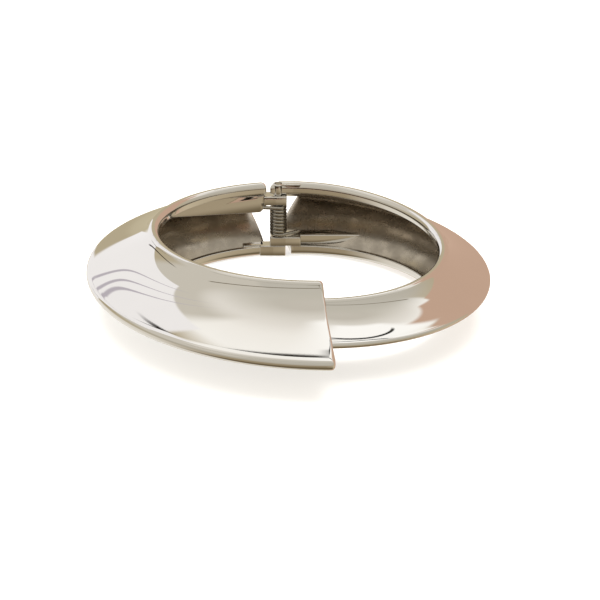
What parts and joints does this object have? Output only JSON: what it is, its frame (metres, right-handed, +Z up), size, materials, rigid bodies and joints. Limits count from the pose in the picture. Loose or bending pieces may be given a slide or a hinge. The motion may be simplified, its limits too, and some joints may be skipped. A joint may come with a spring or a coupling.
{
  "type": "bangle bracelet",
  "caption": "Hinged bangle of two hollow mirror-plated halves with flared edges; a sprung pin hinge opens it and a tongue tucks into a sleeve.",
  "frame": {"origin": "centre of the wrist opening, at mid-height between the two rims", "axes": "+Z up through the wrist opening, +X along the longest width away from the sleeved half, +Y towards the hinge"},
  "size_m": [0.0854, 0.0835, 0.0176],
  "materials": {
    "plated_casting": "mirror-polished plating outside, hazy as-cast plating inside the hollow",
    "hinge_steel": "bright drawn wire",
    "spring_steel": "drawn spring wire"
  },
  "bodies": {
    "left": {"left_half": "plated_casting", "hinge_pin": "hinge_steel", "hinge_spring": "spring_steel"},
    "right": {"right_half": "plated_casting"}
  },
  "joints": [
    {"name": "hinge_open", "type": "hinge", "parent": "left", "child": "right", "pos_m": [-0.0042, 0.024, 0], "axis": [0, 0, 1], "range_deg": [0, 45], "stiffness_Nm_per_rad": 0.02, "springref_deg": -22.92, "deforming": ["hinge_spring"]}
  ]
}
